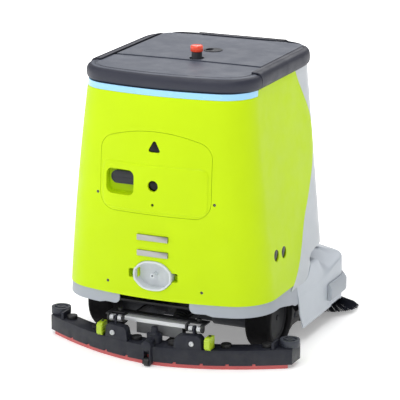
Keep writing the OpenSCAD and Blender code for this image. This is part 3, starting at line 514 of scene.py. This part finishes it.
def upright(pts, depths):
    """The same x and z outline at several y."""
    return [[(x, y, z) for x, z in pts] for y in depths]


def door_outline(grow):
    """The door seen from the rear: round corners and a slightly arched top."""
    r, half, low, high = 37 + grow, 136 + grow, 348 - grow, 520 + grow
    pts = [(0, low)]
    pts += fan(half - r, low + r, r, 0, 90, 14)
    pts += fan(half - r, high - r, r, 90, 168, 14)
    x0, z0 = pts[-1]
    for k in range(1, 13):
        t = k / 12
        pts.append((x0 * (1 - t), z0 + (high + 16 - z0) * (1 - (1 - t) ** 2)))
    return mirrored(pts)


def port_outline(grow):
    """The oval water port with a small ear at each end."""
    pts = []
    for k in range(72):
        a = math.tau * k / 72
        c, s = math.cos(a), math.sin(a)
        ear = 3.2 * max(0.0, min(1.0, (abs(c) - 0.86) / 0.07))
        x = (44 + ear + grow) * math.copysign(abs(c) ** 0.85, c)
        pts.append((x, 206 + (34.5 + grow) * math.copysign(abs(s) ** 0.85, s)))
    return pts


def triangle(grow):
    """The triangle window of the door, with round corners."""
    out = []
    for cx, cz, a in ((-9.5, 494, 150), (9.5, 494, 270), (0, 511, 30)):
        out += [turned(cx, cz, 4 + grow, a + 24 * k) for k in range(6)]
    return out


SCREWS = [(-144, 383), (144, 383), (-117, 178), (117, 178)]
SENSORS = [(-152, 244.5), (-108, 240.7)]
SENSOR_HOLE_R = 13.9
POCKET_X = 51.5
DOOR_SCREW = (0, 371)

rear = shell("rear_shell_panel", 150, BODY_TOP, "green", 44)
STRIP = [(-400, STRIP_LOW - GAP), (-178, STRIP_LOW - GAP), (-168, 642), (-400, 642)]
cut(rear, across(SEAM + [(400, 640), (400, 120), (-85, 120)]), across(STRIP),
    from_rear(door_outline(1.2)), from_rear(port_outline(0.6)))
for z in (257.5, 294):
    cut(rear, from_rear(rect(-38.6, 38.6, z - 6.9, z + 6.9, 1.6)))
for at in SCREWS:
    cut(rear, from_rear(circle(at, 3.6, 24)))
for at in SENSORS:
    cut(rear, across(circle(at, SENSOR_HOLE_R, 40)))
for side in (-1, 1):
    cut(rear, from_rear(rect(side * POCKET_X - 9.5, side * POCKET_X + 9.5, 196, 217, 4), depth=130))
rounded(rear, 0.9)
place(rear, "machine", ["rear_shell"])

# Pocket boxes behind the finger recesses beside the port
for side in (-1, 1):
    outer = rect(side * POCKET_X - 11.5, side * POCKET_X + 11.5, 194, 219, 5)
    inner = rect(side * POCKET_X - 9.6, side * POCKET_X + 9.6, 196, 217, 4)
    cup_ys = (-285, -272)
    cup = wall("finger_pocket_" + side_name(side), upright(outer, cup_ys), upright(inner, cup_ys), "green")
    place(rounded(cup, 0.6), "machine")
    plate = loft("finger_pocket_floor_" + side_name(side), upright(outer, (-273, -271)), "green")
    place(plate, "machine")

front = shell("front_shell_panel", 139, BODY_TOP, "grey", 44)
ahead = [(y + GAP * 2, z) for y, z in SEAM[::-1]] + FOOT + [(400, 222), (400, 660), (40, 660)]
cut(front, across(ahead), op="INTERSECT")
for z in (330, 505):
    cut(front, prism("y", rect(-46, 46, z - 13.4, z + 13.4, 13), 150, 300))
cut(front, block((-96.5, 190, 556), (96.5, 240, 640)))
for side in (-1, 1):
    for turn in (28, 50):
        tool = prism("x", circle((0, 0), SENSOR_HOLE_R, 40), 0, 110)
        tool.rotation_euler = (0, 0, math.radians(turn if side > 0 else 180 - turn))
        tool.location = (side * 0.150, 0.120, 0.240)
        bpy.context.view_layer.update()
        cut(front, tool)
rounded(front, 0.9)
place(front, "machine", ["front_shell"])

strip = body_wall("light_strip_band", levels(STRIP_LOW, BODY_TOP, 4), 0.5, "light_blue")
cut(strip, across([(-400, 610), (-178.4, 610), (-168.6, 642), (-400, 642)]), op="INTERSECT")
place(rounded(strip, 0.6), "machine", ["light_strip"])

# ---------------------------------------------------------------- deck


def smoothstep(t):
    """A soft step from 0 to 1."""
    t = max(0.0, min(1.0, t))
    return t * t * (3 - 2 * t)


DECK_HALF = 264
DECK_REAR = -45
DECK_STRAIGHT = 150
DECK_FRONT = 324
DECK_BOW_R = 460
DECK_CORNER_R = 60
DECK_TURN = math.degrees(math.asin((DECK_HALF - DECK_CORNER_R) / (DECK_BOW_R - DECK_CORNER_R)))
BOW_AT = (0, DECK_FRONT - DECK_BOW_R)
CORNER_Y = BOW_AT[1] + (DECK_BOW_R - DECK_CORNER_R) * math.cos(math.radians(DECK_TURN))
CORNER_AT = (DECK_HALF - DECK_CORNER_R, CORNER_Y)


def deck_side(y, inset, z):
    """A point of the deck's side, which runs in to the body's flare towards the rear."""
    body = half_width(z)
    share = min(1.0, (y - DECK_REAR) / (DECK_STRAIGHT - DECK_REAR))
    return (body + (DECK_HALF - body) * share - inset, y, z)


def deck_profile(y):
    """Inset and height of the skin, from the lower edge up and over to the neck."""
    t = smoothstep((165 - y) / 95)
    edge = 118 + 21 * smoothstep((y - 70) / 150) + 4.5 * smoothstep((y - 205) / 50)
    pts = [(0, 40), (0, 60), (0, 90), (0, edge - 12), (0.2, edge - 4)]
    pts += [(1.2 + 0.2 * t, edge + 0.5), (5.5 - 3.6 * t, edge + 3 + 4 * t)]
    pts += [(14 - 11.6 * t, edge + 5 + 23 * t), (24 - 21 * t, edge + 8 + 35 * t)]
    pts += [(33 - 28.5 * t, edge + 11 + 43 * t), (44 - 34 * t, edge + 14.5 + 42.5 * t)]
    pts += [(60 - 30 * t, edge + 20 + 37 * t), (76 - 30 * t, 166 + 9 * t), (92 - 30 * t, 170 + 4.6 * t)]
    return spline(pts, 3)


def deck_rows(y, thick):
    """The profile moved in by a thickness; only its upper part is lowered."""
    return [(d + thick, z - (thick if z > 120 else 0)) for d, z in deck_profile(y)]


def deck_skin(thick):
    """Columns of points from the rear on the right, round the front, to the rear on the left."""
    side_ys = [DECK_REAR + (DECK_STRAIGHT - DECK_REAR) * k / 26 for k in range(27)]
    side_ys += [DECK_STRAIGHT + (CORNER_Y - DECK_STRAIGHT) * k / 10 for k in range(1, 10)]
    columns = [[deck_side(y, d, z) for d, z in deck_rows(y, thick)] for y in side_ys]
    corner = fan(*CORNER_AT, DECK_CORNER_R, 90, 180 - DECK_TURN, 16)
    bow = fan(*BOW_AT, DECK_BOW_R, 180 - DECK_TURN, 180, 18)[1:]
    for centre, arc in ((CORNER_AT, corner), (BOW_AT, bow)):
        for x, y in arc:
            a = math.atan2(y - centre[1], x - centre[0])
            nx, ny = math.cos(a), math.sin(a)
            columns.append([(x - nx * d, y - ny * d, z) for d, z in deck_rows(y, thick)])
    return columns + [[(-x, y, z) for x, y, z in c] for c in columns[-2::-1]]


skin_out, skin_in = deck_skin(0), deck_skin(WALL)
loops = [o + i[::-1] for o, i in zip(skin_out, skin_in)]
deck = loft("deck_panel", loops, "pale")
# Front part of the wheel arch, shared by the deck and the band behind it
ARCH_FRONT = [(-80, 107), (-66, 101), (-53, 91), (-45, 74), (-38, 54), (-33, 36)]
ARCH = curve([(-140, 109), (-98, 109)] + ARCH_FRONT, 6) + [(-28, 20), (-140, 20)]
TOP = [(-60, 141.2), (-44, 140.7), (-8, 139.2), (14, 144.6)]
TOP += curve([(24.3, 151.6), (38.6, 169), (54.4, 197)], 4) + [(54.4, 400), (-80, 400), (-80, 141.2)]
cut(deck, across(ARCH), across(TOP))
rounded(deck, 1.0, 3, 40)
place(deck, "machine", ["deck"])

neck_out = bowed(229, -37, 173, 20, 63)
neck_in = bowed(226, -34, 170, 20, 60)
NECK_ZS = (166, 202)
neck = wall("deck_neck", [ring(neck_out, z) for z in NECK_ZS], [ring(neck_in, z) for z in NECK_ZS], "pale")
cut(neck, block((-150, 96, 150), (150, 300, 230)), block((-300, -60, 150), (300, 57, 230)))
place(rounded(neck, 0.6), "machine")
# The band panel takes the darker band look, painted shade under the green shell above it
band = body_wall("rear_band_panel", levels(100, 149.6, 12), 2.5, "band")
BAND_ARCH = curve([(-152, 122), (-122, 116), (-98, 110.5)] + ARCH_FRONT, 6)
# Opening for the squeegee's lift, wide at the foot where the lifted bracket passes
LIFT_WAY = [(-142, 100), (-142, 121.9), (-125, 126.6)] + fan(-101, 140.4, 14, 0, 90, 8) + [(-87, 160)]
LIFT_WAY += [(87, 160)] + fan(101, 140.4, 14, -90, 0, 8) + [(125, 126.6), (142, 121.9), (142, 100)]
cut(band, across(BAND_ARCH + [(-33, 20), (-400, 20), (-400, 122)]), from_rear(LIFT_WAY),
    block((-400, -43, 90), (400, 400, 200)))
place(rounded(band, 0.8), "machine")

# ---------------------------------------------------------------- rear door


def door_rise(x, z):
    """The lower part of the door stands proud as a soft rounded plate."""
    half_x, low, high, r = 131, 353, 462, 20
    qx = abs(x) - (half_x - r)
    qz = abs(z - (low + high) / 2) - ((high - low) / 2 - r)
    outside = math.hypot(max(qx, 0), max(qz, 0)) + min(max(qx, qz), 0) - r
    return 2.7 * smoothstep((-outside + 1.0) / 5.0)


def steps_near(low, high, count, *edges):
    """Even steps, with closer ones where the plate's edge rises."""
    close = [e + d for e in edges for d in (-4, -2.8, -1.6, -0.4, 0.8)]
    return sorted(set(levels(low, high, count) + close))


def on_door(pts, lift):
    """An outline laid on the bowed rear surface, moved in by some mm."""
    return [(x, rear_at(x, z) + lift, z) for x, z in pts]


door_x = steps_near(-140, 140, 70, -129, 131, -113, 115)
door_z = steps_near(340, 545, 60, 462, 356, 446, 372)
outer = [[(x, rear_at(x, z) - door_rise(x, z), z) for x in door_x] for z in door_z]
inner = [[(x, rear_at(x, z) + WALL, z) for x in door_x] for z in door_z]
grid = [o + i[::-1] for o, i in zip(outer, inner)]
door = loft("rear_door_panel", grid, "door_green")
cut(door, from_rear(door_outline(0.25)), op="INTERSECT")
cut(door, from_rear(rect(-120, -48, 386, 444, 15)), from_rear(circle((0, 414), 12.6, 48)),
    from_rear(triangle(0.4)), from_rear(circle(DOOR_SCREW, 3.4, 24)))
place(rounded(door, 1.0, 3, 30), "rear_door", ["rear_door"])

outer, inner = rect(-123, -45, 383, 447, 16), rect(-120.2, -47.8, 385.8, 444.2, 14.8)
pocket_rim = wall("door_pocket_rim", [on_door(outer, 0.6)] + upright(outer, [-258]),
                  [on_door(inner, 0.6)] + upright(inner, [-258]), "door_green")
place(rounded(pocket_rim, 0.5), "rear_door")
pocket_floor = loft("door_pocket_floor", upright(outer, (-259.5, -257.5)), "door_green")
place(pocket_floor, "rear_door")

seal_out, seal_in = [[on_door(door_outline(g), d) for d in (3.3, 4.8)] for g in (7, -6)]
place(wall("door_seal", seal_out, seal_in, "door_green"), "machine")

# ---------------------------------------------------------------- top cover and lid

COVER = spline([(0, 630), (5.5, 635), (6.5, 648), (4.0, 657), (-2, 661.6), (-12, 663)], 5)
RIM = spline([(0, 630), (5.5, 635), (6.5, 648), (5.0, 658), (0, 665), (-8, 667)], 5)
STOP_AT = (10, -71)
LATCH_AT = (10, 22)
LATCH_HOLE_R = 22.1
BOSS_R = 26


def cover_shell(name, look, profile):
    """A hollow cover with a flat top: a skin outside, a smaller one inside, joined at the foot."""
    outer = [ring(cover_outline(g), z) for g, z in profile]
    inside = [ring(cover_outline(-4), z) for z in (630, 640, 652, profile[-1][1] - 3.2)]
    verts, faces = rings_mesh(outer)
    in_verts, in_faces = rings_mesh(inside)
    n, rows, base = len(outer[0]), len(outer), len(verts)
    faces = faces[:-2] + [tuple((rows - 1) * n + i for i in range(n))]
    faces += [tuple(base + i for i in f) for f in in_faces[:-2]]
    faces.append(tuple(base + (len(inside) - 1) * n + i for i in range(n))[::-1])
    faces += [(i, (i + 1) % n, base + (i + 1) % n, base + i) for i in range(n)]
    return mesh_object(name, verts + in_verts, faces, look)


def lid_plan(grow, rear_y):
    """The lid's outline with round front corners and a straight rear edge."""
    half, front_y, r = 186 + grow, 179 + grow, 26 + grow
    pts = [(half, rear_y)] + fan(half - r, front_y - r, r, 90, 180, 12)
    return pts + fan(-half + r, front_y - r, r, 180, 270, 12) + [(-half, rear_y)]


def top_faces(obj, look):
    """Gives the flat upward faces their own finish."""
    obj.data.materials.append(LOOK[look])
    for p in obj.data.polygons:
        if p.normal.z > 0.98:
            p.material_index = len(obj.data.materials) - 1


cover = cover_shell("rear_cover_panel", "cover", COVER)
edge = [(x, -95.2 - 5.0 * (x / 186) ** 2) for x in levels(-185.6, 185.6, 24)]
plan = [(-300, -400), (300, -400), (300, -168.6), (185.6, -168.6)]
plan += edge[::-1] + [(-185.6, -168.6), (-300, -168.6)]
cut(cover, from_top(plan), op="INTERSECT")
groove_out, groove_in = [[ring(cover_outline(g), z) for z in (662.2, 664)] for g in (-17, -18.6)]
cut(cover, wall("groove", groove_out, groove_in))
top_faces(cover, "lid")
place(rounded(cover, 1.2), "machine", ["rear_top_cover"])

rim = cover_shell("top_rim_panel", "cover", RIM)
cut(rim, from_top([(-300, -167.2), (300, -167.2), (300, 400), (-300, 400)]), op="INTERSECT")
cut(rim, from_top(lid_plan(0, -300)))
# The ledge under the gap round the lid is near black as painted shade in the gap
ledge = loft("rim_ledge", [ring(lid_plan(1.5, -48), 632), ring(lid_plan(1.5, -48), 645)], "gap_black")
cut(ledge, from_top(lid_plan(-12, -36)))
place(rounded(rim, 3.2, 5), "machine", ["top_rim"])
place(rounded(ledge, 1), "machine")

lid_front = [(x, -92.6 - 5.0 * (x / 186) ** 2) for x in levels(-180.4, 180.4, 24)]
plan = lid_plan(-5.6, -98)[1:-1] + lid_front
lid = loft("lid_panel", [ring(plan, 659.4), ring(plan, 665.2)], "lid")
cut(lid, from_top(circle(STOP_AT, 17.5, 56)), from_top(circle(LATCH_AT, LATCH_HOLE_R, 56)))
place(rounded(lid, 1.4, 4), "lid", ["lid"])

rib = loft("lid_rib", [ring(lid_plan(-16, -30), 654), ring(lid_plan(-16, -30), 660.8)], "lid")
cut(rib, from_top(lid_plan(-19, -27)))
cut(rib, from_top(circle(LATCH_AT, BOSS_R, 56)))
place(rounded(rib, 0.8), "lid")
boss = prism("z", circle(LATCH_AT, BOSS_R, 48), 651, 661)
boss.name = "lid_boss"
boss.data.materials.append(LOOK["lid"])
cut(boss, from_top(circle(LATCH_AT, LATCH_HOLE_R, 56)))
place(rounded(boss, 0.8), "lid")

# ---------------------------------------------------------------- squeegee and lift details


def tube(name, path, radius, look, n):
    """A round bar along a path; radius is one number or one for each point."""
    pts = [Vector(p) for p in path]
    rings, normal = [], None
    for i, p in enumerate(pts):
        d = (pts[min(i + 1, len(pts) - 1)] - pts[max(i - 1, 0)]).normalized()
        if normal is None:
            normal = d.orthogonal().normalized()
        normal = (normal - d * normal.dot(d)).normalized()
        side = d.cross(normal)
        r = radius if isinstance(radius, (int, float)) else radius[i]
        turns = [math.tau * k / n for k in range(n)]
        rings.append([tuple(p + (normal * math.cos(a) + side * math.sin(a)) * r) for a in turns])
    obj = loft(name, rings, look)
    smooth(obj, 50)
    return obj


SPRING_AT = (-278, 89)
SPRING_R = 6.85
SPRING_TURNS = 4.6
SPRING_PITCH = 2.45
TURN_STEPS = 22
springs = []
for side in (-1, 1):
    for mark, start in (("a", 82.2), ("b", 102.2)):
        path = []
        for i in range(int(SPRING_TURNS * TURN_STEPS) + 1):
            a = math.tau * i / TURN_STEPS
            x = start + 1.2 + SPRING_PITCH * i / TURN_STEPS
            y = SPRING_AT[0] + SPRING_R * math.sin(a)
            path.append((side * x, y, SPRING_AT[1] + SPRING_R * math.cos(a)))
        springs.append(tube("spring_" + side_name(side)[0] + mark, path, 1.2, "chrome", 10))
for i, spring in enumerate(springs):
    place(spring, "lift", ["torsion_springs"] if i == 0 else ())


def dome(name, at, r, h, look, body):
    """A domed screw head with a small round recess, facing the rear."""
    profile = [(r, 0), (r, 0.25 * h), (0.94 * r, 0.55 * h), (0.74 * r, 0.85 * h), (0.45 * r, h)]
    profile += [(0.36 * r, h), (0.34 * r, 0.55 * h), (0.01, 0.5 * h)]
    obj = loft(name, [ring(circle((0, 0), radius, 24), height) for radius, height in profile], look)
    turn_to = Vector((0, 0, 1)).rotation_difference(Vector((0, -1, 0))).to_matrix().to_4x4()
    obj.data.transform(Matrix.Translation(Vector(at) * MM) @ turn_to)
    smooth(obj, 50)
    return place(obj, body)


def sweep(x, inset):
    """Y of the squeegee's curve, counted from its rear face."""
    return -316 + inset + 106 * (abs(x) / 300) ** 1.75


for side in (-1, 1):
    dome("ear_screw_" + side_name(side)[0], (side * 99, sweep(99, 0.2), 60), 6.2, 3.6,
         "steel_grey", "squeegee")

# Y and z of the drive wheels' axle
AXLE = (-90, 75)
# Radius and side distance of the plain cap over each wheel hub
CAP = [(53.6, 214), (53.6, 220), (52, 222), (9, 222.6), (7, 222.6), (7, 224), (5, 224.6), (0.01, 224.6)]
for side, wheel in ((-1, "left_wheel"), (1, "right_wheel")):
    rings = [[(side * x, y, z) for y, z in circle(AXLE, r, 64)] for r, x in CAP]
    cap = loft(wheel + "_cap", rings, "hub")
    smooth(cap, 35)
    place(cap, wheel)

hose_pts = curve([(34, -232, 62.4), (34, -232, 71), (34, -226, 81), (34, -212, 90), (34, -193, 98),
                  (34, -177, 107), (34, -172, 119.6)], 12)
hose_r = [17.2 + 0.8 * math.cos(math.tau * i / 4) for i in range(len(hose_pts))]
hose = tube("suction_hose_ribbed", hose_pts, hose_r, "hose", 28)
smooth(hose, 80)
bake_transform(hose)
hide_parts("suction_hose")

# ---------------------------------------------------------------- side brush

TUFTS = 72
STRANDS = 13
RINGS = 6
draw = random.Random(11)
verts, faces = [], []
for tuft in range(TUFTS):
    tuft_a = math.tau * tuft / TUFTS + draw.uniform(-0.03, 0.03)
    tuft_r = (20, 27)[tuft % 2]
    for strand in range(STRANDS):
        a = tuft_a + draw.uniform(-0.085, 0.085)
        reach = draw.uniform(74, 84)
        root_z, tip_z = 22 + draw.uniform(-2, 2), 0.9 + draw.uniform(0, 1.8)
        sweep_a = 0.10 + draw.uniform(-0.05, 0.05)
        base = len(verts)
        for i in range(RINGS):
            t = i / (RINGS - 1)
            r = tuft_r + (reach - tuft_r) * t
            z = root_z + (tip_z - root_z) * t ** 1.15
            b = a + sweep_a * t * t
            w = 0.85 * (1 - 0.5 * t)
            for k in range(3):
                c = math.tau * k / 3
                x = r * math.cos(b) - w * math.cos(c) * math.sin(b)
                y = r * math.sin(b) + w * math.cos(c) * math.cos(b)
                verts.append((x, y, z + w * math.sin(c)))
        for i in range(RINGS - 1):
            for k in range(3):
                j = (k + 1) % 3
                near = base + 3 * i
                faces.append((near + k, near + j, near + 3 + j, near + 3 + k))
        last = base + 3 * (RINGS - 1)
        faces += [(base + 2, base + 1, base), (last, last + 1, last + 2)]
bristles = mesh_object("side_brush_strands", verts, faces, "fibre")
tilt = Matrix.Translation((0.214, 0.238, 0.00712)) @ Matrix.Rotation(math.radians(-5), 4, "X")
bristles.data.transform(tilt)
smooth(bristles, 70)
place(bristles, "side_brush", ["side_brush_bristles"])

for i, (x, z) in enumerate(SCREWS):
    dome(f"shell_screw_{i}", (x, rear_at(x, z) + 1.4, z), 3.3, 1.1, "screw_dark", "machine")
for side in (-1, 1):
    dome("port_screw_" + side_name(side)[0], (side * 52, -276.4, 212), 3.3, 1.1,
         "screw_dark", "machine")
dome("door_screw", on_door([DOOR_SCREW], 0.4)[0], 3.2, 1.1, "screw_dark", "rear_door")

# ---------------------------------------------------------------- edges of the CAD nodes left showing

for node in nodes.values():
    if node.hide_render:
        continue
    weld = node.modifiers.new("weld", "WELD")
    weld.merge_threshold = 0.00001
    rounded(node, 0.5, 2, 38)

# ---------------------------------------------------------------- stage


def area_light(name, at, target, size, power):
    data = bpy.data.lights.new(name, "AREA")
    data.shape = "RECTANGLE"
    data.size, data.size_y = size
    data.energy = power
    lamp = bpy.data.objects.new(name, data)
    lamp.location = at
    lamp.rotation_euler = (Vector(target) - Vector(at)).to_track_quat("-Z", "Y").to_euler()
    bpy.context.scene.collection.objects.link(lamp)


area_light("key", (0.2, -2.2, 2.9), (0, 0, 0.3), (2.2, 2.2), 40)
area_light("top", (0, 0.3, 3.2), (0, 0, 0.3), (2.6, 2.6), 42)
area_light("fill", (-2.6, -1.6, 1.6), (0, 0, 0.3), (2.4, 2.0), 20)
area_light("side", (3.0, 0.9, 1.7), (0, 0, 0.3), (2.2, 2.2), 2)
area_light("back", (-0.6, 2.8, 2.4), (0, 0, 0.4), (2.4, 1.6), 22)
world = bpy.data.worlds.new("studio")
world.use_nodes = True
sky = world.node_tree.nodes["Background"]
seen = world.node_tree.nodes.new("ShaderNodeLightPath")
level = world.node_tree.nodes.new("ShaderNodeMapRange")
level.inputs["To Min"].default_value = 0.42
level.inputs["To Max"].default_value = 1.12
world.node_tree.links.new(seen.outputs["Is Camera Ray"], level.inputs["Value"])
world.node_tree.links.new(level.outputs["Result"], sky.inputs["Strength"])
sky.inputs["Color"].default_value = (1, 1, 1, 1)
bpy.context.scene.world = world
bpy.context.scene.view_settings.view_transform = "Standard"

# The floor glows more with distance, so that it runs into the background
FLOOR_GLOW = 0.30
floor_mat = material("floor", (250, 250, 250), rough=0.7, grain=60, grain_depth=0.0002, mottle=0.004,
                     wear=0, specular=0.2, emission=FLOOR_GLOW)
ground = floor_mat.node_tree
far = ground.nodes.new("ShaderNodeVectorMath")
far.operation = "LENGTH"
glow = ground.nodes.new("ShaderNodeMapRange")
glow.inputs["From Min"].default_value = 0.7
glow.inputs["From Max"].default_value = 3.2
glow.inputs["To Min"].default_value = FLOOR_GLOW
glow.inputs["To Max"].default_value = 1.1
where = ground.nodes.new("ShaderNodeTexCoord")
ground.links.new(where.outputs["Object"], far.inputs[0])
ground.links.new(far.outputs["Value"], glow.inputs["Value"])
ground.links.new(glow.outputs["Result"], ground.nodes["Principled BSDF"].inputs["Emission Strength"])
bpy.ops.mesh.primitive_plane_add(size=60, location=(0, 0, 0))
floor = bpy.context.object
floor.name = "floor"
floor.data.materials.append(floor_mat)

# The camera fitted to the photo: direction, distance and sideways shift in mm
VIEW_AZ, VIEW_EL = math.radians(24.1), math.radians(15.6)
CAMERA_AWAY = 5344.6
AIM = Vector((0, 0, 350))
SHIFT_RIGHT, SHIFT_UP = -12.6, -39.6
level_back = Vector((math.sin(VIEW_AZ), -math.cos(VIEW_AZ), 0))
back = level_back * math.cos(VIEW_EL) + Vector((0, 0, math.sin(VIEW_EL)))
right = Vector((math.cos(VIEW_AZ), math.sin(VIEW_AZ), 0))
up = back.cross(right)
cam_data = bpy.data.cameras.new("camera")
cam_data.lens = 204.6
cam_data.sensor_width = 36
cam_data.clip_end = 60
camera = bpy.data.objects.new("camera", cam_data)
turn = Matrix((right, up, back)).transposed()
eye = AIM + back * CAMERA_AWAY + right * SHIFT_RIGHT + up * SHIFT_UP
camera.matrix_world = Matrix.Translation(eye * MM) @ turn.to_4x4()
bpy.context.scene.collection.objects.link(camera)
bpy.context.scene.camera = camera
